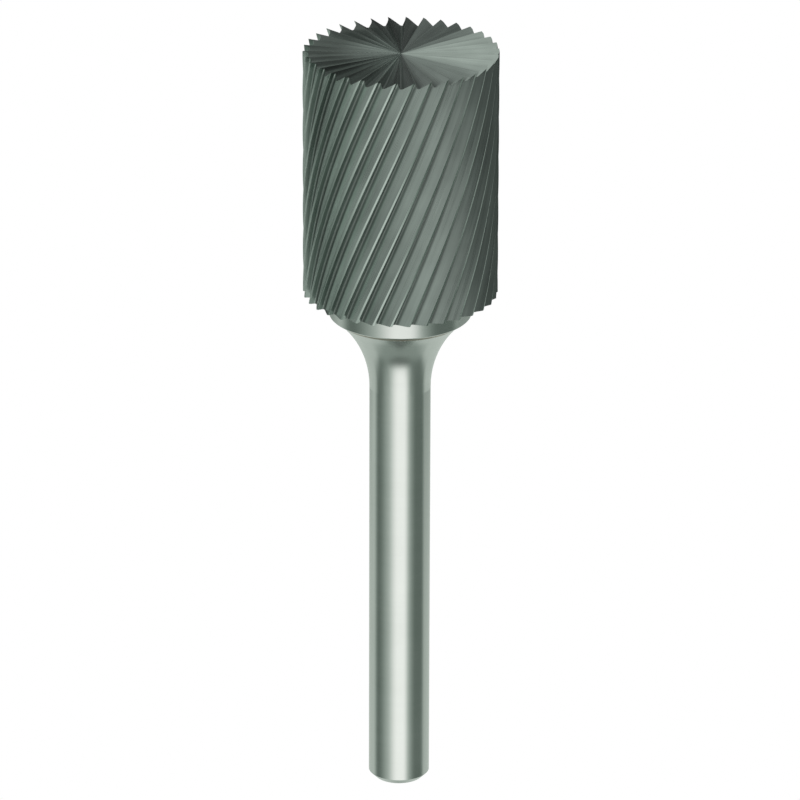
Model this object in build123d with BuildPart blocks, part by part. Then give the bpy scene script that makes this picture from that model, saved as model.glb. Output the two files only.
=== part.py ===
"""Cylindrical carbide burr with an end cut, standing on its head.

The origin is the centre of the plane of the end-teeth tips, and +Z runs along the axis
to the free end of the shank. Lengths are in millimetres and angles in degrees.
"""

import os
from math import cos, degrees, pi, radians, sin, sqrt, tan

from build123d import *

# ---- cutting head: sintered tungsten carbide, ground all over ----
head_diameter = 19.0
head_length = 25.0
tooth_count = 34
helix_angle = 23.5
first_tooth_angle = 272.7
flute_depth = 0.62
flute_floor_width = 0.20
land_width = 0.20
side_rake = -8.0
flute_overrun = 0.40

# ---- end teeth: one gash for each side tooth, running out at the centre ----
end_dish = 0.40
end_valley_height = 0.80  # at the rim, above the plane of the tips
end_valley_lead = 1.9  # how far the valley lies ahead of its cutting edge, as an angle
end_valley_width = 0.20  # at the rim
gash_overrun = 1.0

# ---- smooth collar behind the side teeth ----
collar_diameter = 13.9
collar_length = 2.35
collar_chamfer = 0.12

# ---- socket, and the silver braze round the spigot ----
socket_depth = 8.0
braze_gap = 0.10
braze_toe = 0.50  # width of the braze fillet outside the flange

# ---- steel shank ----
overall_length = 76.9
shank_diameter = 6.0
spigot_chamfer = 0.5
flange_diameter = 12.3
flange_rim = 0.35
neck_radius = 9.8
end_chamfer = 0.6

# ---- worked out from the sizes above ----
head_radius = head_diameter / 2
pitch_angle = 360 / tooth_count
helix_lead = pi * head_diameter / tan(radians(helix_angle))
back_face = head_length + collar_length
shank_radius = shank_diameter / 2
flange_radius = flange_diameter / 2
socket_radius = shank_radius + braze_gap
socket_floor = back_face - socket_depth
spigot_end = socket_floor + braze_gap
flange_face = back_face + braze_gap
neck_start = flange_face + flange_rim
neck_drop = flange_radius - shank_radius
neck_end = neck_start + sqrt(neck_radius**2 - (neck_radius - neck_drop) ** 2)


def polar(radius, angle):
    """A point of the section, by its radius and its angle about the axis."""
    return (radius * cos(radians(angle)), radius * sin(radians(angle)))


# ---- one flute, cut ahead of a cutting edge that lies on the X axis ----
land_angle = 360 * land_width / (pi * head_diameter)
rake_slope = tan(radians(side_rake))
heel = polar(head_radius, land_angle - pitch_angle)
rake_top = (head_radius + flute_overrun, -flute_overrun * rake_slope)
rake_foot = (head_radius - flute_depth, flute_depth * rake_slope)
relief_foot = (rake_foot[0], rake_foot[1] - flute_floor_width)
relief_run = (rake_top[0] - relief_foot[0]) / (heel[0] - relief_foot[0])
relief_top = (rake_top[0], relief_foot[1] + relief_run * (heel[1] - relief_foot[1]))

with BuildSketch() as flute:
    with BuildLine():
        Polyline(rake_top, rake_foot, relief_foot, relief_top, close=True)
    make_face()

# ---- one end gash: its lines all run from a section outside the rim to the apex ----
gash_plane = head_radius + gash_overrun
end_valley_end = end_valley_lead + degrees(end_valley_width / head_radius)


def gash_point(angle, rim_height):
    """Where the line from the apex over the rim, at that angle and height, meets the section."""
    reach = gash_plane / cos(radians(angle)) / head_radius
    return (gash_plane * tan(radians(angle)), end_dish + (rim_height - end_dish) * reach)


with BuildPart() as end_gash:
    with BuildSketch(Plane.YZ.offset(gash_plane)) as gash_section:
        edge_point = gash_point(0, 0)
        heel_point = gash_point(-pitch_angle, 0)
        with BuildLine():
            Polyline(
                (edge_point[0], -gash_overrun),
                edge_point,
                gash_point(-end_valley_lead, end_valley_height),
                gash_point(-end_valley_end, end_valley_height),
                heel_point,
                (heel_point[0], -gash_overrun),
                close=True,
            )
        make_face()
    loft(sections=[gash_section.sketch.face(), Vertex(0, 0, end_dish)])

with BuildPart() as carbide_head:
    with BuildSketch() as toothed_section:
        Circle(head_radius)
        with PolarLocations(0, tooth_count, start_angle=first_tooth_angle):
            add(flute.sketch, mode=Mode.SUBTRACT)
    with BuildLine() as head_axis:
        Line((0, 0, 0), (0, 0, head_length))
    with BuildLine() as helix_guide:
        Helix(pitch=helix_lead, height=head_length, radius=head_radius)
    sweep(path=head_axis.wire(), binormal=helix_guide.wire())
    # a cone clears the middle, where the gashes are too shallow to reach the end plane
    with BuildSketch(Plane.XZ):
        with BuildLine():
            Polyline((0, end_dish), (head_radius, -end_dish), (0, -end_dish), close=True)
        make_face()
    revolve(axis=Axis.Z, mode=Mode.SUBTRACT)
    with PolarLocations(0, tooth_count, start_angle=first_tooth_angle):
        add(end_gash.part, mode=Mode.SUBTRACT)
    with BuildSketch(Plane.XY.offset(head_length)):
        Circle(collar_diameter / 2)
    extrude(amount=collar_length)
    chamfer(carbide_head.faces().sort_by(Axis.Z)[-1].edges(), collar_chamfer)
    with Locations((0, 0, back_face)):
        Hole(socket_radius, depth=socket_depth)

with BuildPart() as braze_joint:
    with BuildSketch(Plane.XZ):
        with BuildLine():
            Polyline(
                (flange_radius, neck_start),
                (flange_radius, flange_face),
                (shank_radius, flange_face),
                (shank_radius, spigot_end + spigot_chamfer),
                (shank_radius - spigot_chamfer, spigot_end),
                (0, spigot_end),
                (0, socket_floor),
                (socket_radius, socket_floor),
                (socket_radius, back_face),
                (flange_radius + braze_toe, back_face),
            )
            RadiusArc(
                (flange_radius + braze_toe, back_face),
                (flange_radius, neck_start),
                radius=2 * braze_toe,
            )
        make_face()
    revolve(axis=Axis.Z)

with BuildPart() as shank:
    with BuildSketch(Plane.XZ):
        with BuildLine():
            Polyline(
                (shank_radius, neck_end),
                (shank_radius, overall_length - end_chamfer),
                (shank_radius - end_chamfer, overall_length),
                (0, overall_length),
                (0, spigot_end),
                (shank_radius - spigot_chamfer, spigot_end),
                (shank_radius, spigot_end + spigot_chamfer),
                (shank_radius, flange_face),
                (flange_radius, flange_face),
                (flange_radius, neck_start),
            )
            RadiusArc(
                (flange_radius, neck_start),
                (shank_radius, neck_end),
                radius=neck_radius,
            )
        make_face()
    revolve(axis=Axis.Z)

os.makedirs("parts", exist_ok=True)

carbide_head.part.label = "carbide_head"
export_step(carbide_head.part, "parts/carbide_head.step")

braze_joint.part.label = "braze_joint"
export_step(braze_joint.part, "parts/braze_joint.step")

shank.part.label = "shank"
export_step(shank.part, "parts/shank.step")
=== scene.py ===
"""Looks of a carbide burr with a cylindrical head: toothed head, braze joint, shank and studio.

Lengths are in metres in the shared frame: the burr stands on the tips of its end teeth at
z = 0, and +Z runs along its axis to the free end of the shank.
"""

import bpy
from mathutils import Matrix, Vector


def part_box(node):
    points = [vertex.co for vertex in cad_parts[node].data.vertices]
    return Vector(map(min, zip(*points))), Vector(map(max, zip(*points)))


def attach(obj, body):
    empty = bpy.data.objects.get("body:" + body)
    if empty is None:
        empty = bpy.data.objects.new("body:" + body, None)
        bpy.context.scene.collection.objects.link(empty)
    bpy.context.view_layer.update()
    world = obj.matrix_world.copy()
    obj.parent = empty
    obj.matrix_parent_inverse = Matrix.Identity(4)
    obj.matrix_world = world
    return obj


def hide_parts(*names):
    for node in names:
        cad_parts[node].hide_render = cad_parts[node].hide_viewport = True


bl_info = {
    "name": "Carbide burr",
    "version": (1, 0, 0),
    "blender": (4, 5, 0),
    "location": "View3D > Sidebar > Burr",
    "description": "Models the toothed head of a carbide burr and finishes its carbide, braze and steel",
    "category": "Object",
}

from math import cos, pi, radians, sin, tan

import bmesh
import bpy
from bpy.props import FloatProperty, FloatVectorProperty, IntProperty, PointerProperty
from mathutils import Matrix, Quaternion, Vector

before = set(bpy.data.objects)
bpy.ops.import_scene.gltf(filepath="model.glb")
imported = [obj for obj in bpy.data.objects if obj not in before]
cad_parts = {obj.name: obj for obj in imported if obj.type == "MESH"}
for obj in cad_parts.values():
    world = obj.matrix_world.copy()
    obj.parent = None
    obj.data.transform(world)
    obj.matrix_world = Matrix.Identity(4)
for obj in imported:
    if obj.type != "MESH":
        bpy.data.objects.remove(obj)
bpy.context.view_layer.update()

MILLIMETRE = 0.001
HEAD_NODE = "carbide_head"
BRAZE_NODE = "braze_joint"
SHANK_NODE = "shank"

head_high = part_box(HEAD_NODE)[1]


# ---------------------------------------------------------------- settings


def length_property(name, default, description):
    """A length in metres that the sidebar shows in the scene's own unit."""
    return FloatProperty(
        name=name,
        description=description,
        default=default,
        min=0.0,
        precision=5,
        unit="LENGTH",
        subtype="DISTANCE",
    )


def angle_property(name, default, description):
    """An angle that is given here in degrees and kept in radians."""
    return FloatProperty(
        name=name,
        description=description,
        default=radians(default),
        unit="ROTATION",
        subtype="ANGLE",
    )


def colour_property(name, default, description):
    """A scene-linear colour."""
    return FloatVectorProperty(
        name=name,
        description=description,
        default=default,
        min=0.0,
        max=1.0,
        size=3,
        subtype="COLOR",
    )


class BurrHeadSettings(bpy.types.PropertyGroup):
    """Sizes of the toothed head."""

    radius: length_property("Head radius", head_high.x, "Radius over the side teeth")
    tooth_length: length_property("Tooth length", 0.025, "From the end tips to the back of the teeth")
    tooth_count: IntProperty(name="Teeth", description="Number of side teeth", default=34, min=3)
    helix_angle: angle_property("Helix angle", 23.5, "Slope of the cutting edges, right-handed")
    first_tooth: angle_property("First tooth", 272.7, "Angle of one cutting edge in the end plane")
    corner_depth: length_property("Corner depth", 0.00071, "Depth of the flute's unrounded corner")
    root_radius: length_property("Root radius", 0.00020, "Radius of the flute's root")
    edge_radius: length_property("Edge radius", 0.00003, "Rounding of the cutting edges")
    land_width: length_property("Land width", 0.00020, "Honed land behind a cutting edge")
    land_lean: angle_property("Land lean", 10.0, "How far the hone has tipped the land towards its edge")
    side_rake: angle_property("Side rake", -8.0, "Rake of the side teeth")
    end_dish: length_property("End dish", 0.0004, "Depth of the end face at its centre")
    end_valley: length_property("End valley", 0.0008, "Depth of an end gash at the rim")
    valley_lead: angle_property("Valley lead", 1.9, "From an end cutting edge to its valley")
    valley_width: length_property("Valley width", 0.0002, "Width of an end gash's floor at the rim")
    collar_radius: length_property("Collar radius", 0.00695, "Radius of the collar behind the teeth")
    collar_chamfer: length_property("Collar chamfer", 0.00012, "Broken edge of the collar")
    socket_depth: length_property("Socket depth", 0.008, "Depth of the hole that takes the spigot")
    socket_radius: length_property("Socket radius", 0.0031, "Radius of the hole for the spigot")


class BurrFinishSettings(bpy.types.PropertyGroup):
    """Colours of the three metals."""

    carbide: colour_property("Carbide", (0.292, 0.343, 0.318), "Ground flanks of the teeth")
    collar: colour_property("Collar", (0.600, 0.632, 0.612), "Bright ground collar")
    steel: colour_property("Steel", (0.620, 0.650, 0.630), "Ground and polished shank")
    braze: colour_property("Braze", (0.440, 0.425, 0.360), "Silver braze")


class BurrStudioSettings(bpy.types.PropertyGroup):
    """Camera and floor."""

    distance: length_property("Camera distance", 0.750, "From the aim point to the camera")
    aim_height: length_property("Aim height", 0.0365, "Height of the aim point on the axis")
    elevation: angle_property("Elevation", -22.445, "Of the camera, negative below the floor")
    lean: angle_property("Lean", 0.178, "Of the upside-down camera")
    lens: FloatProperty(name="Lens", description="Focal length", default=344.05, subtype="DISTANCE_CAMERA")
    floor_radius: length_property("Floor radius", 0.6, "Of the round floor")
    floor_colour: colour_property("Floor", (0.90, 0.90, 0.89), "Pale plain floor")


# ---------------------------------------------------------------- shader nodes


class Wire:
    """An output socket that takes part in Python expressions by adding Math nodes."""

    def __init__(self, net, socket):
        self.net = net
        self.socket = socket

    def __add__(self, other):
        return self.net.math("ADD", self, other)

    def __radd__(self, other):
        return self.net.math("ADD", other, self)

    def __sub__(self, other):
        return self.net.math("SUBTRACT", self, other)

    def __rsub__(self, other):
        return self.net.math("SUBTRACT", other, self)

    def __mul__(self, other):
        return self.net.math("MULTIPLY", self, other)

    def __rmul__(self, other):
        return self.net.math("MULTIPLY", other, self)

    def __truediv__(self, other):
        return self.net.math("DIVIDE", self, other)

    def __rtruediv__(self, other):
        return self.net.math("DIVIDE", other, self)

    def __pow__(self, other):
        return self.net.math("POWER", self, other)

    def __neg__(self):
        return self.net.math("MULTIPLY", self, -1.0)

    def swing(self, size):
        """A pattern of 0 to 1 moved to swing about 0, so far from end to end."""
        return (self - 0.5) * size


class Net:
    """The node tree of one material or world."""

    def __init__(self, tree):
        self.tree = tree
        tree.nodes.clear()

    def node(self, kind, settings=None, sockets=None, output=0):
        """Any shader node: its settings first, then the values or links of its sockets."""
        made = self.tree.nodes.new("ShaderNode" + kind)
        for name, value in (settings or {}).items():
            if name == "stops":
                set_stops(made.color_ramp, value)
            else:
                setattr(made, name, value)
        for name, value in (sockets or {}).items():
            if isinstance(value, Wire):
                self.tree.links.new(value.socket, made.inputs[name])
            else:
                made.inputs[name].default_value = value
        return Wire(self, made.outputs[output]) if made.outputs else made

    def math(self, operation, *values):
        return self.node("Math", {"operation": operation}, dict(enumerate(values)))

    def texture_point(self, output="Object"):
        return self.node("TexCoord", output=output)

    def point_mm(self):
        """The object's own coordinates in millimetres."""
        metres = self.texture_point()
        return self.node("VectorMath", {"operation": "SCALE"}, {0: metres, "Scale": 1.0 / MILLIMETRE})

    def parts(self, vector):
        """The x, y and z of a vector."""
        split = self.node("SeparateXYZ", None, {0: vector})
        outputs = split.socket.node.outputs
        return [Wire(self, outputs[axis]) for axis in range(3)]

    def join(self, x, y, z):
        return self.node("CombineXYZ", None, {0: x, 1: y, 2: z})

    def between(self, value, low, high):
        """0 up to low, 1 from high on and a smooth step in between; low may be the larger."""
        return self.node(
            "MapRange",
            {"interpolation_type": "SMOOTHSTEP"},
            {"Value": value, "From Min": low, "From Max": high},
        )

    def noise(self, vector, pattern):
        """Noise with a pattern's scale, detail and roughness."""
        scale, detail, roughness = pattern
        return self.node(
            "TexNoise",
            {"noise_dimensions": "3D"},
            {"Vector": vector, "Scale": scale, "Detail": detail, "Roughness": roughness},
        )

    def blend(self, factor, first, second):
        """A number between first and second."""
        return self.node("Mix", {"data_type": "FLOAT"}, {0: factor, 2: first, 3: second})

    def blend_colour(self, factor, first, second):
        return self.node("Mix", {"data_type": "RGBA"}, {0: factor, 6: first, 7: second}, output=2)

    def shade(self, colour, amount):
        """The colour with its brightness multiplied by amount."""
        grey = self.node("CombineColor", None, {0: amount, 1: amount, 2: amount})
        return self.node(
            "Mix",
            {"data_type": "RGBA", "blend_type": "MULTIPLY"},
            {0: 1.0, 6: colour, 7: grey},
            output=2,
        )

    def bump(self, height, distance):
        return self.node("Bump", None, {"Height": height, "Distance": distance})


def set_stops(ramp, stops):
    """Gives a colour ramp these stops, each a place and a shade of grey."""
    while len(ramp.elements) < len(stops):
        ramp.elements.new(0.5)
    for element, (place, shade) in zip(ramp.elements, stops):
        element.position = place
        element.color = (shade, shade, shade, 1.0)


def opaque(colour):
    """The four channels of a three-channel colour."""
    return (*colour, 1.0)


def new_material(name):
    """A material and its empty node tree."""
    material = bpy.data.materials.new(name)
    material.use_nodes = True
    return material, Net(material.node_tree)


def close_material(net, sockets):
    """A Principled surface with these sockets, joined to the output."""
    surface = net.node("BsdfPrincipled", None, {"Metallic": 1.0, **sockets})
    net.node("OutputMaterial", None, {"Surface": surface})


# Added under the root, so that a point on the axis has a radius to be divided by.
AXIS_GUARD = 1e-6


def around_axis(net, point_mm, turn_per_mm):
    """Radius, height and the direction from the axis, untwisted by so many radians a millimetre."""
    x, y, z = net.parts(point_mm)
    radius = net.math("SQRT", x * x + y * y + AXIS_GUARD)
    turned = net.node(
        "VectorRotate",
        {"rotation_type": "Z_AXIS"},
        {"Vector": net.join(x / radius, y / radius, 0.0), "Angle": z * -turn_per_mm},
    )
    return radius, z, turned


# ---------------------------------------------------------------- finishes

# Noise patterns: scale, detail and roughness.
FLUTE_MARKS = (2.4, 3.0, 0.65)
FLUTE_BANDS = (0.55, 2.0, 0.5)
CARBIDE_CLOUD = (0.32, 2.0, 0.5)
SHANK_GRINDING = (1.6, 4.0, 0.7)
NECK_TURNING = (1.0, 2.0, 0.5)
STEEL_CLOUD = (0.22, 3.0, 0.55)
BRAZE_LUMPS = (1.8, 3.0, 0.55)
BRAZE_FLUX = (0.9, 4.0, 0.6)

# Heights of marks in metres.
FLUTE_MARK_HEIGHT = 1.2e-6
STEEL_MARK_HEIGHT = 0.6e-6
BRAZE_LUMP_HEIGHT = 8e-6

# How often the flute marks change round the head, and how slowly along it and towards the axis.
MARKS_ROUND = 5.0
MARKS_ALONG = 0.05
MARKS_INWARD = 0.12

# Where the head's finish and its painted light change over, as shares of a pitch behind a cutting edge: the
# painted highlights on the lands and rake faces, and the painted light and shade on the gashes.
LAND_END = (0.11, 0.13)
RAKE_FOOT = (0.925, 0.945)
GASH_FADE = 0.03

# Where it changes over in millimetres: depths below the head's radius, heights above the end plane
#  and heights above the side teeth. ROOT_DEPTH bounds the painted shade in the roots and the painted
#  highlight on the rake faces; LAND_DEPTH bounds the painted highlight on the lands.
LAND_DEPTH = (0.08, 0.05)
ROOT_DEPTH = (0.58, 0.46)
END_TO_SIDE = (0.2, 0.9)
TEETH_TO_COLLAR = (0.02, 0.06)

# Painted light and shade on the end gashes: a gash is painted brightest inside the first share of the head's
# radius and darkest outside the second.
GASH_PAINTED_SPAN = (0.15, 0.75)
GASH_PAINTED_LEVELS = (1.25, 0.48)

# Heights in millimetres between which the neck's turning gives way to the shank's grinding.
NECK_TO_SHANK = (33.0, 35.5)

# Values of the noise between which a stain of flux sets in.
FLUX_EDGE = (0.50, 0.68)
FLUX_COLOUR = (0.20, 0.18, 0.14)


def below_rim(net, radius, radius_mm, depths):
    """0 below the deeper of two depths under the head's radius and 1 above the other."""
    deep, shallow = depths
    return net.between(radius, radius_mm - deep, radius_mm - shallow)


def carbide_material(finish, head):
    """Ground carbide: marks and a tone in each flute, painted highlights on the lands and rake faces, painted
    shade in the roots, painted light and shade on the end gashes, and a bright collar.
    """
    material, net = new_material("ground_carbide")
    point = net.point_mm()
    x, y, _ = net.parts(point)
    radius_mm = head.radius / MILLIMETRE
    teeth_mm = head.tooth_length / MILLIMETRE
    radius, height, direction = around_axis(net, point, tan(head.helix_angle) / radius_mm)
    along_x, along_y, _ = net.parts(direction)

    pitch = 2.0 * pi / head.tooth_count
    turns = (net.math("ARCTAN2", along_y, along_x) - head.first_tooth) / pitch
    place = net.math("FRACT", turns)
    flute = net.math("FLOORED_MODULO", net.math("FLOOR", turns), head.tooth_count)
    tone = net.node("TexWhiteNoise", {"noise_dimensions": "1D"}, {"W": flute + 0.5})
    end_turns = (net.math("ARCTAN2", y, x) - head.first_tooth) / pitch
    end_place = net.math("FRACT", end_turns)

    round_x = along_x * (radius_mm * MARKS_ROUND)
    round_y = along_y * (radius_mm * MARKS_ROUND)
    drift = height * MARKS_ALONG + radius * MARKS_INWARD
    fine = net.noise(net.join(round_x, round_y, drift), FLUTE_MARKS)
    broad = net.noise(net.join(round_x, round_y, drift * 2.0), FLUTE_BANDS)
    cloud = net.noise(point, CARBIDE_CLOUD)

    side = net.between(height, *END_TO_SIDE)
    back = net.between(height, *(teeth_mm + past for past in TEETH_TO_COLLAR))
    rim = below_rim(net, radius, radius_mm, LAND_DEPTH)
    # above_root and root mark the flute roots, where painted shade halves the colour's brightness.
    above_root = below_rim(net, radius, radius_mm, ROOT_DEPTH)
    # The land mask paints a highlight along the lands behind the cutting edges.
    land = (1.0 - net.between(place, *LAND_END)) * rim * side
    # The rake mask paints a highlight on the rake faces, making them 1.4 times as bright.
    rake = net.between(place, *RAKE_FOOT) * above_root * side
    root = (1.0 - above_root) * side
    # The gash mask and its level paint light and shade on the end gashes: brighter near the axis, darker
    # towards the rim.
    gash_foot = 1.0 - head.valley_lead / pitch
    gash = net.between(end_place, gash_foot - GASH_FADE, gash_foot) * (1.0 - side)
    outward = net.between(radius, *(share * radius_mm for share in GASH_PAINTED_SPAN))
    gash_painted_level = net.blend(outward, *GASH_PAINTED_LEVELS)

    level = 0.86 + tone * 0.16 + fine.swing(0.36) + broad.swing(0.34) + cloud.swing(0.34)
    # Painted shade in the roots and on the outer gashes, painted light on the inner gashes and a painted
    # highlight on the rake faces.
    level = level * (1.0 - root * 0.50) * net.blend(gash, 1.0, gash_painted_level) * (1.0 + rake * 0.4)
    flank = net.shade(opaque(finish.carbide), level)
    # Painted highlight on the lands: 1.15 times the carbide's colour.
    land_painted_highlight = opaque([channel * 1.15 for channel in finish.carbide])
    flank = net.blend_colour(land * 0.9, flank, land_painted_highlight)
    collar = net.shade(opaque(finish.collar), 0.92 + cloud.swing(0.16))
    colour = net.blend_colour(back, flank, collar)

    flank_roughness = 0.22 + side * 0.08 + fine.swing(0.16) + broad.swing(0.14) + root * 0.16
    roughness = net.blend(back, flank_roughness, 0.20)
    normal = net.bump(fine * (1.0 - back), FLUTE_MARK_HEIGHT)
    close_material(net, {"Base Color": colour, "Roughness": roughness, "Normal": normal})
    return material


def steel_material(finish):
    """Shank steel: turned on the neck and finely ground round the straight part."""
    material, net = new_material("polished_steel")
    point = net.point_mm()
    _, height, direction = around_axis(net, point, 0.0)
    along_x, along_y, _ = net.parts(direction)

    ground = net.noise(net.join(along_x * 0.35, along_y * 0.35, height * 9.0), SHANK_GRINDING)
    turned = net.noise(net.join(along_x * 0.10, along_y * 0.10, height * 5.0), NECK_TURNING)
    cloud = net.noise(point, STEEL_CLOUD)
    neck = 1.0 - net.between(height, *NECK_TO_SHANK)
    marks = net.blend(neck, ground, turned)

    level = 0.97 + marks.swing(0.10) + cloud.swing(0.12)
    colour = net.shade(opaque(finish.steel), level)
    roughness = 0.19 + ground.swing(0.10) + cloud.swing(0.08) + neck * 0.03
    normal = net.bump(marks, STEEL_MARK_HEIGHT)
    close_material(net, {"Base Color": colour, "Roughness": roughness, "Normal": normal})
    return material


def braze_material(finish):
    """Silver braze: slightly yellow, satin and a little lumpy, darker where flux has stayed."""
    material, net = new_material("silver_braze")
    point = net.point_mm()
    lumps = net.noise(point, BRAZE_LUMPS)
    flux = net.between(net.noise(point, BRAZE_FLUX), *FLUX_EDGE)

    colour = net.blend_colour(flux * 0.6, opaque(finish.braze), opaque(FLUX_COLOUR))
    colour = net.shade(colour, 0.9 + lumps.swing(0.3))
    roughness = 0.34 + lumps.swing(0.2) + flux * 0.15
    normal = net.bump(lumps, BRAZE_LUMP_HEIGHT)
    close_material(net, {"Base Color": colour, "Roughness": roughness, "Normal": normal})
    return material


def dress(node_name, material):
    """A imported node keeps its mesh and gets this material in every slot."""
    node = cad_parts[node_name]
    if not node.material_slots:
        raise RuntimeError(f"{node_name} has no material slot to dress")
    for slot in node.material_slots:
        slot.material = material
    return node


# ---------------------------------------------------------------- toothed head

# Steps in the arcs of a cutting edge and a root, along the twist, and round the collar for each tooth.
EDGE_STEPS = 4
ROOT_STEPS = 6
TWIST_STEPS = 52
COLLAR_STEPS = 4

# Widths of the narrow strips beside the arcs, which keep the shading of the flat faces flat.
EDGE_STRIP = 0.00004
ROOT_STRIP = 0.00005

# How far the flutes run past the end plane, and the gash cutter past that plane and past the rim.
END_OVERRUN = 0.6 * MILLIMETRE
CUTTER_DEPTH = 3.0 * END_OVERRUN
CUTTER_MARGIN = MILLIMETRE

LEVEL_TOLERANCE = 1e-7
MERGE_DISTANCE = 2e-7
SHARP_ANGLE = radians(28.0)


def spun(angle, point):
    """The point turned about the burr's axis."""
    return Matrix.Rotation(angle, 4, "Z") @ point


def rounded_corner(mesh, before, corner, after, radius, steps):
    """An arc of that radius, tangent to both legs of a corner; returns its two end vertices."""
    to_before = (before - corner).normalized()
    to_after = (after - corner).normalized()
    half = to_before.angle(to_after) / 2.0
    start = mesh.verts.new(corner + to_before * radius / tan(half))
    centre = corner + (to_before + to_after).normalized() * radius / sin(half)
    side = to_before.cross(to_after).z
    swept = bmesh.ops.spin(
        mesh,
        geom=[start],
        cent=centre,
        axis=(0.0, 0.0, 1.0 if side < 0.0 else -1.0),
        angle=pi - 2.0 * half,
        steps=steps,
    )
    end = next(item for item in swept["geom_last"] if isinstance(item, bmesh.types.BMVert))
    return start, end


def tooth_outline(mesh, head, height):
    """One flute's outline in a level plane, from a cutting edge to the one ahead of it."""
    pitch = 2.0 * pi / head.tooth_count
    land = head.land_width / head.radius
    heel = spun(land - pitch, Vector((head.radius, 0.0, height)))
    land_end = spun(pitch, heel)
    tip = Vector((head.radius - head.land_width * tan(head.land_lean), 0.0, height))
    corner_x = head.radius - head.corner_depth
    corner = Vector((corner_x, head.corner_depth * tan(head.side_rake), height))

    edge_start, edge_end = rounded_corner(mesh, land_end, tip, corner, head.edge_radius, EDGE_STEPS)
    root_start, root_end = rounded_corner(mesh, tip, corner, heel, head.root_radius, ROOT_STEPS)
    rake = (corner - tip).normalized()
    relief = (heel - corner).normalized()
    rake_top = mesh.verts.new(edge_end.co + rake * EDGE_STRIP)
    rake_foot = mesh.verts.new(root_start.co - rake * ROOT_STRIP)
    relief_foot = mesh.verts.new(root_end.co + relief * ROOT_STRIP)
    heel_vertex = mesh.verts.new(heel)
    next_edge = mesh.verts.new(spun(-pitch, edge_start.co))
    for chain in (
        (edge_end, rake_top, rake_foot, root_start),
        (root_end, relief_foot, heel_vertex, next_edge),
    ):
        for first, second in zip(chain, chain[1:]):
            mesh.edges.new((first, second))


def boundary_at(mesh, height):
    """The open edges that lie in the level plane at that height."""

    def is_level(edge):
        return all(abs(vertex.co.z - height) < LEVEL_TOLERANCE for vertex in edge.verts)

    return [edge for edge in mesh.edges if len(edge.link_faces) < 2 and is_level(edge)]


def repeat_round(mesh, count):
    """Copies all of the mesh round the axis and joins the copies."""
    bmesh.ops.spin(
        mesh,
        geom=mesh.verts[:] + mesh.edges[:],
        cent=(0.0, 0.0, 0.0),
        axis=(0.0, 0.0, 1.0),
        angle=2.0 * pi,
        steps=count,
        use_duplicate=True,
    )
    bmesh.ops.remove_doubles(mesh, verts=mesh.verts[:], dist=MERGE_DISTANCE)


def fluted_blank(head, back_face):
    """The fluted cylinder, its collar and its socket, closed and still flat below the end plane."""
    mesh = bmesh.new()
    twist_per_metre = tan(head.helix_angle) / head.radius
    run = head.tooth_length + END_OVERRUN
    tooth_outline(mesh, head, -END_OVERRUN)
    repeat_round(mesh, head.tooth_count)
    start_angle = head.first_tooth - twist_per_metre * END_OVERRUN
    bmesh.ops.rotate(mesh, verts=mesh.verts[:], matrix=Matrix.Rotation(start_angle, 3, "Z"))
    bmesh.ops.spin(
        mesh,
        geom=mesh.verts[:] + mesh.edges[:],
        cent=(0.0, 0.0, 0.0),
        axis=(0.0, 0.0, 1.0),
        dvec=(0.0, 0.0, run / TWIST_STEPS),
        angle=twist_per_metre * run,
        steps=TWIST_STEPS,
    )
    bmesh.ops.triangle_fill(mesh, use_beauty=True, edges=boundary_at(mesh, -END_OVERRUN))

    profile = [
        (head.collar_radius, head.tooth_length),
        (head.collar_radius, back_face - head.collar_chamfer),
        (head.collar_radius - head.collar_chamfer, back_face),
        (head.socket_radius, back_face),
        (head.socket_radius, back_face - head.socket_depth),
        (0.0, back_face - head.socket_depth),
    ]
    points = [mesh.verts.new((radius, 0.0, height)) for radius, height in profile]
    lines = [mesh.edges.new(pair) for pair in zip(points, points[1:])]
    bmesh.ops.spin(
        mesh,
        geom=points + lines,
        cent=(0.0, 0.0, 0.0),
        axis=(0.0, 0.0, 1.0),
        angle=2.0 * pi,
        steps=COLLAR_STEPS * head.tooth_count,
        use_merge=True,
    )
    bmesh.ops.remove_doubles(mesh, verts=mesh.verts[:], dist=MERGE_DISTANCE)
    bmesh.ops.triangle_fill(mesh, use_beauty=True, edges=boundary_at(mesh, head.tooth_length))
    bmesh.ops.recalc_face_normals(mesh, faces=mesh.faces[:])
    return mesh


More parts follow.
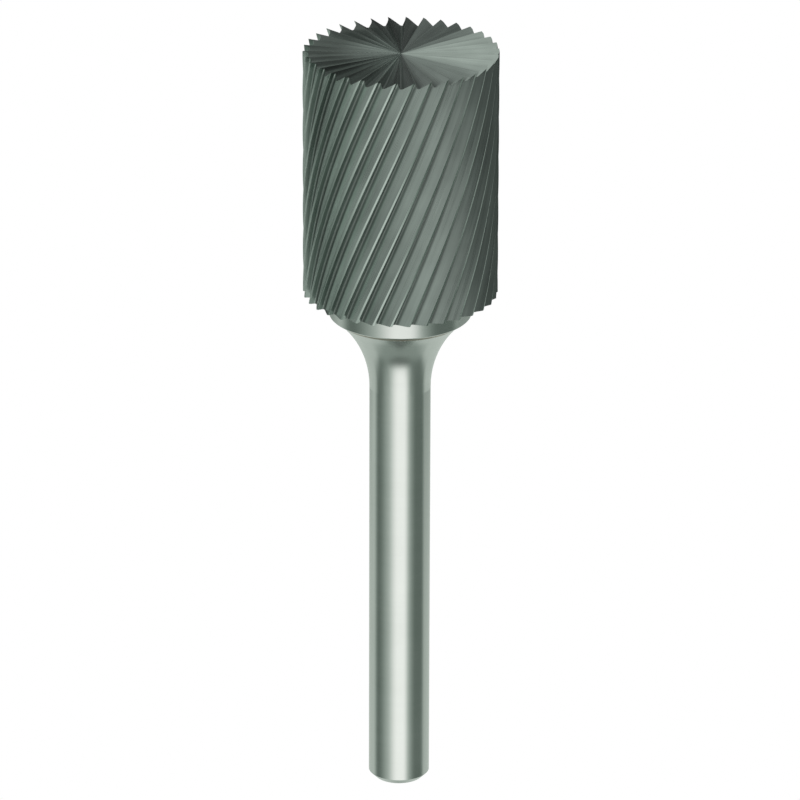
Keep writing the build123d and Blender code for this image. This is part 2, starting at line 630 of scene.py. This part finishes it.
def gash_cutter(head, reach, depth):
    """The closed space below the end teeth: three facets a tooth, all meeting at the apex."""
    mesh = bmesh.new()
    pitch = 2.0 * pi / head.tooth_count
    valley_end = head.valley_lead + head.valley_width / head.radius
    growth = reach / head.radius

    def rim_point(angle, height):
        """Where the line from the apex over the rim reaches the cutter's outer radius."""
        z = head.end_dish + (height - head.end_dish) * growth
        return spun(angle, Vector((reach, 0.0, z)))

    points = [
        mesh.verts.new(rim_point(0.0, 0.0)),
        mesh.verts.new(rim_point(-head.valley_lead, head.end_valley)),
        mesh.verts.new(rim_point(-valley_end, head.end_valley)),
        mesh.verts.new(rim_point(-pitch, 0.0)),
    ]
    for pair in zip(points, points[1:]):
        mesh.edges.new(pair)
    repeat_round(mesh, head.tooth_count)
    bmesh.ops.rotate(mesh, verts=mesh.verts[:], matrix=Matrix.Rotation(head.first_tooth, 3, "Z"))
    rim = mesh.edges[:]
    fan = bmesh.ops.extrude_edge_only(mesh, edges=rim)
    fan_points = [item for item in fan["geom"] if isinstance(item, bmesh.types.BMVert)]
    bmesh.ops.pointmerge(mesh, verts=fan_points, merge_co=(0.0, 0.0, head.end_dish))
    skirt = bmesh.ops.extrude_edge_only(mesh, edges=rim)
    for item in skirt["geom"]:
        if isinstance(item, bmesh.types.BMVert):
            item.co.z = -depth
    bmesh.ops.triangle_fill(mesh, use_beauty=True, edges=boundary_at(mesh, -depth))
    bmesh.ops.recalc_face_normals(mesh, faces=mesh.faces[:])
    return mesh


def mesh_object(name, mesh):
    """A scene object at the origin that holds the finished bmesh."""
    data = bpy.data.meshes.new(name)
    mesh.to_mesh(data)
    mesh.free()
    made = bpy.data.objects.new(name, data)
    bpy.context.scene.collection.objects.link(made)
    return made


def cut_away(body, cutter):
    """Takes the cutter's space out of the body and removes the cutter."""
    modifier = body.modifiers.new("end_gashes", "BOOLEAN")
    modifier.operation = "DIFFERENCE"
    modifier.solver = "EXACT"
    modifier.object = cutter
    depsgraph = bpy.context.evaluated_depsgraph_get()
    cut = bpy.data.meshes.new_from_object(body.evaluated_get(depsgraph))
    body.modifiers.clear()
    uncut = body.data
    body.data = cut
    cut.name = uncut.name + "_cut"
    bpy.data.meshes.remove(uncut)
    cutter_data = cutter.data
    bpy.data.objects.remove(cutter)
    bpy.data.meshes.remove(cutter_data)


class BURR_OT_toothed_head(bpy.types.Operator):
    """Model the toothed carbide head with its end teeth, collar and socket"""

    bl_idname = "burr.toothed_head"
    bl_label = "Toothed head"

    def execute(self, context):
        head = context.scene.burr_head
        blank = fluted_blank(head, head_high.z)
        cutter = gash_cutter(head, head.radius + CUTTER_MARGIN, CUTTER_DEPTH)
        body = mesh_object("toothed_head", blank)
        cut_away(body, mesh_object("gash_cutter", cutter))
        if not body.data.polygons:
            raise RuntimeError("The end gashes left nothing of the toothed head")
        body.data.shade_smooth()
        body.data.set_sharp_from_angle(angle=SHARP_ANGLE)
        body.data.materials.clear()
        body.data.materials.append(carbide_material(context.scene.burr_finish, head))
        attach(body, "root")
        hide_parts(HEAD_NODE)
        return {"FINISHED"}


class BURR_OT_braze_joint(bpy.types.Operator):
    """Finish the silver braze between the head and the shank"""

    bl_idname = "burr.braze_joint"
    bl_label = "Braze joint"

    def execute(self, context):
        node = dress(BRAZE_NODE, braze_material(context.scene.burr_finish))
        return {"FINISHED"}


class BURR_OT_shank(bpy.types.Operator):
    """Finish the steel shank"""

    bl_idname = "burr.shank"
    bl_label = "Shank"

    def execute(self, context):
        node = dress(SHANK_NODE, steel_material(context.scene.burr_finish))
        return {"FINISHED"}


# ---------------------------------------------------------------- studio

# Lights above the floor's level: a key light in front, a card beside it and a wall behind. Azimuths
# are in degrees, from the camera's side at 0 towards -X: a light sets in, is full, starts to fade
# and is gone. The wall is what lies outside its four angles.
ROOM_SHADE = 0.18
KEY_SHADE, KEY_ANGLES = 0.65, (-45, -5, 15, 40)
CARD_SHADE, CARD_ANGLES = 0.50, (-85, -25, 20, 65)
WALL_SHADE, WALL_ANGLES = 0.48, (-115, -88, 92, 115)

# Brightness by azimuth lower down, in the same degrees.
LEVEL_BAND = (
    (-180, 0.04),
    (-160, 0.04),
    (-140, 0.10),
    (-117, 0.60),
    (-85, 0.74),
    (-57, 0.82),
    (-28, 0.72),
    (-9, 0.54),
    (6, 0.23),
    (22, 0.13),
    (60, 0.10),
    (110, 0.06),
    (180, 0.04),
)
LOW_BAND = (
    (-180, 0.05),
    (-160, 0.06),
    (-148, 0.45),
    (-120, 0.60),
    (-98, 0.08),
    (-85, 0.12),
    (-58, 0.60),
    (-30, 0.45),
    (0, 0.24),
    (35, 0.18),
    (60, 0.08),
    (88, 0.06),
    (102, 0.70),
    (125, 0.95),
    (142, 0.60),
    (158, 0.06),
    (180, 0.05),
)
LOWEST_BAND = (
    (-180, 0.45),
    (-132, 0.55),
    (-60, 0.85),
    (0, 0.95),
    (60, 0.90),
    (108, 0.60),
    (132, 0.25),
    (150, 0.25),
    (180, 0.45),
)


# A ramp holds shades of 0 to 1, so a band's shades are divided by this in it.
BRIGHTEST_SHADE = 2.0

# Heights of a direction, itself of length 1, between which one band gives way to the next.
LEVEL_TO_HIGH_NEAR = (-0.02, 0.20)
LEVEL_TO_HIGH_FAR = (0.33, 0.40)
HIGH_TO_OVERHEAD = (0.84, 0.95)
LEVEL_TO_LOW = (-0.11, -0.24)
LOW_TO_LOWEST = (-0.36, -0.52)
LOWEST_TO_UNDERFOOT = (-0.72, -0.94)
UNDERFOOT_SHADE = 1.10

# Values of its Y, negative towards the camera, at which the near side gives way to the far one and
# the shades overhead to each other.
NEAR_TO_FAR = (0.10, 0.30)
OVERHEAD_NEAR_TO_MIDDLE = (-0.30, -0.10)
OVERHEAD_MIDDLE_TO_FAR = (0.25, 0.60)
NEAR_SHADE, MIDDLE_SHADE, FAR_SHADE = 0.06, 0.35, 0.66

# Tints of the reflected light: bright, dim and level or lower, and dim and higher. It is dim up to
# DIM_SHADE, and the curve takes it from there to bright.
BRIGHT_TINT = (1.0, 1.0, 0.97)
DIM_TINT_LOW = (0.97, 1.0, 0.985)
DIM_TINT_HIGH = (0.79, 1.0, 0.86)
DIM_LOW_TO_HIGH = (0.0, 0.3)
DIM_SHADE = 0.2
TINT_CURVE = 0.7

WHITE = (1.0, 1.0, 1.0)

# Shares of the floor's radius between which it fades out.
FLOOR_FADE = (0.35, 0.95)
FLOOR_SEGMENTS = 96

# The camera clips at its distance divided by this and multiplied by it.
CLIP_RATIO = 100.0


def azimuth_band(net, azimuth, band):
    """The brightness that a band gives at an azimuth in radians."""
    place = azimuth / (2.0 * pi) + 0.5
    stops = [(angle / 360.0 + 0.5, shade / BRIGHTEST_SHADE) for angle, shade in band]
    ramp = net.node("ValToRGB", {"stops": stops}, {"Fac": place})
    return net.node("RGBToBW", None, {0: ramp}) * BRIGHTEST_SHADE


def spread(net, azimuth, angles):
    """1 between the two inner angles, 0 beyond the two outer ones and a smooth step from one to the other."""
    rise, full, fade, gone = (radians(angle) for angle in angles)
    return net.between(azimuth, rise, full) * (1.0 - net.between(azimuth, fade, gone))


def studio_world():
    """White behind the burr, and a soft studio in its reflections."""
    world = bpy.data.worlds.new("studio")
    world.use_nodes = True
    net = Net(world.node_tree)
    x, y, z = net.parts(net.texture_point("Generated"))
    azimuth = net.math("ARCTAN2", -x, -y)
    bands = (LEVEL_BAND, LOW_BAND, LOWEST_BAND)
    level, low, lowest = (azimuth_band(net, azimuth, band) for band in bands)
    high = ROOM_SHADE + spread(net, azimuth, KEY_ANGLES) * KEY_SHADE
    high = high + spread(net, azimuth, CARD_ANGLES) * CARD_SHADE
    high = high + (1.0 - spread(net, azimuth, WALL_ANGLES)) * WALL_SHADE
    overhead = net.blend(net.between(y, *OVERHEAD_MIDDLE_TO_FAR), MIDDLE_SHADE, FAR_SHADE)
    overhead = net.blend(net.between(y, *OVERHEAD_NEAR_TO_MIDDLE), NEAR_SHADE, overhead)
    high = net.blend(net.between(z, *HIGH_TO_OVERHEAD), high, overhead)
    far = net.between(y, *NEAR_TO_FAR)
    rise = [net.blend(far, *pair) for pair in zip(LEVEL_TO_HIGH_NEAR, LEVEL_TO_HIGH_FAR)]
    studio = net.blend(net.between(z, *rise), level, high)
    studio = net.blend(net.between(z, *LEVEL_TO_LOW), studio, low)
    studio = net.blend(net.between(z, *LOW_TO_LOWEST), studio, lowest)
    studio = net.blend(net.between(z, *LOWEST_TO_UNDERFOOT), studio, UNDERFOOT_SHADE)

    bright = net.node("Clamp", None, {"Value": studio - DIM_SHADE}) ** TINT_CURVE
    above_level = net.between(z, *DIM_LOW_TO_HIGH)
    dim_tint = net.blend_colour(above_level, opaque(DIM_TINT_LOW), opaque(DIM_TINT_HIGH))
    tint = net.blend_colour(bright, dim_tint, opaque(BRIGHT_TINT))
    glossy = net.node("LightPath", output="Is Glossy Ray")
    colour = net.blend_colour(glossy, opaque(WHITE), tint)
    strength = net.blend(glossy, 1.0, studio)
    background = net.node("Background", None, {"Color": colour, "Strength": strength})
    net.node("OutputWorld", None, {"Surface": background})
    return world


def floor_material(studio):
    """Pale and matt from above, fading out to the white behind it, and clear from below."""
    material, net = new_material("pale_floor")
    x, y, _ = net.parts(net.texture_point())
    radius = net.math("SQRT", x * x + y * y)
    fade = net.between(radius, *(share * studio.floor_radius for share in FLOOR_FADE))
    below = net.node("NewGeometry", output="Backfacing")
    unseen = 1.0 - (1.0 - fade) * (1.0 - below)
    matt = net.node("BsdfDiffuse", None, {"Color": opaque(studio.floor_colour)})
    clear = net.node("BsdfTransparent")
    surface = net.node("MixShader", None, {0: unseen, 1: matt, 2: clear})
    net.node("OutputMaterial", None, {"Surface": surface})
    return material


class BURR_OT_studio(bpy.types.Operator):
    """Set up the pale floor, the soft light and the camera"""

    bl_idname = "burr.studio"
    bl_label = "Studio"

    def execute(self, context):
        scene = context.scene
        studio = scene.burr_studio
        mesh = bmesh.new()
        bmesh.ops.create_circle(mesh, cap_ends=True, segments=FLOOR_SEGMENTS, radius=studio.floor_radius)
        floor = mesh_object("floor", mesh)
        floor.data.materials.append(floor_material(studio))
        floor.visible_diffuse = False
        floor.visible_glossy = False
        floor.visible_transmission = False
        floor.visible_shadow = False

        scene.world = studio_world()
        scene.view_settings.view_transform = "Standard"

        data = bpy.data.cameras.new("camera")
        data.lens = studio.lens
        data.clip_start = studio.distance / CLIP_RATIO
        data.clip_end = studio.distance * CLIP_RATIO
        camera = bpy.data.objects.new("camera", data)
        scene.collection.objects.link(camera)
        aim = Vector((0.0, 0.0, studio.aim_height))
        back = Vector((0.0, -cos(studio.elevation), sin(studio.elevation)))
        camera.location = aim + back * studio.distance
        camera.rotation_mode = "QUATERNION"
        upright = (-back).to_track_quat("-Z", "Y")
        camera.rotation_quaternion = upright @ Quaternion((0.0, 0.0, 1.0), pi + studio.lean)
        scene.camera = camera
        return {"FINISHED"}


# ---------------------------------------------------------------- sidebar

OPERATORS = (BURR_OT_toothed_head, BURR_OT_braze_joint, BURR_OT_shank, BURR_OT_studio)


class VIEW3D_PT_carbide_burr(bpy.types.Panel):
    """The burr's sizes, colours and build steps"""

    bl_label = "Carbide burr"
    bl_space_type = "VIEW_3D"
    bl_region_type = "UI"
    bl_category = "Burr"

    def draw(self, context):
        layout = self.layout
        for settings in (context.scene.burr_head, context.scene.burr_finish, context.scene.burr_studio):
            box = layout.box()
            for name in settings.__annotations__:
                box.prop(settings, name)
        for operator in OPERATORS:
            layout.operator(operator.bl_idname)


CLASSES = (
    BurrHeadSettings,
    BurrFinishSettings,
    BurrStudioSettings,
    *OPERATORS,
    VIEW3D_PT_carbide_burr,
)


def register():
    for cls in CLASSES:
        bpy.utils.register_class(cls)
    bpy.types.Scene.burr_head = PointerProperty(type=BurrHeadSettings)
    bpy.types.Scene.burr_finish = PointerProperty(type=BurrFinishSettings)
    bpy.types.Scene.burr_studio = PointerProperty(type=BurrStudioSettings)


def unregister():
    del bpy.types.Scene.burr_studio
    del bpy.types.Scene.burr_finish
    del bpy.types.Scene.burr_head
    for cls in reversed(CLASSES):
        bpy.utils.unregister_class(cls)


def main():
    register()
    bpy.ops.burr.toothed_head()
    bpy.ops.burr.braze_joint()
    bpy.ops.burr.shank()
    bpy.ops.burr.studio()


if __name__ == "__main__":
    main()
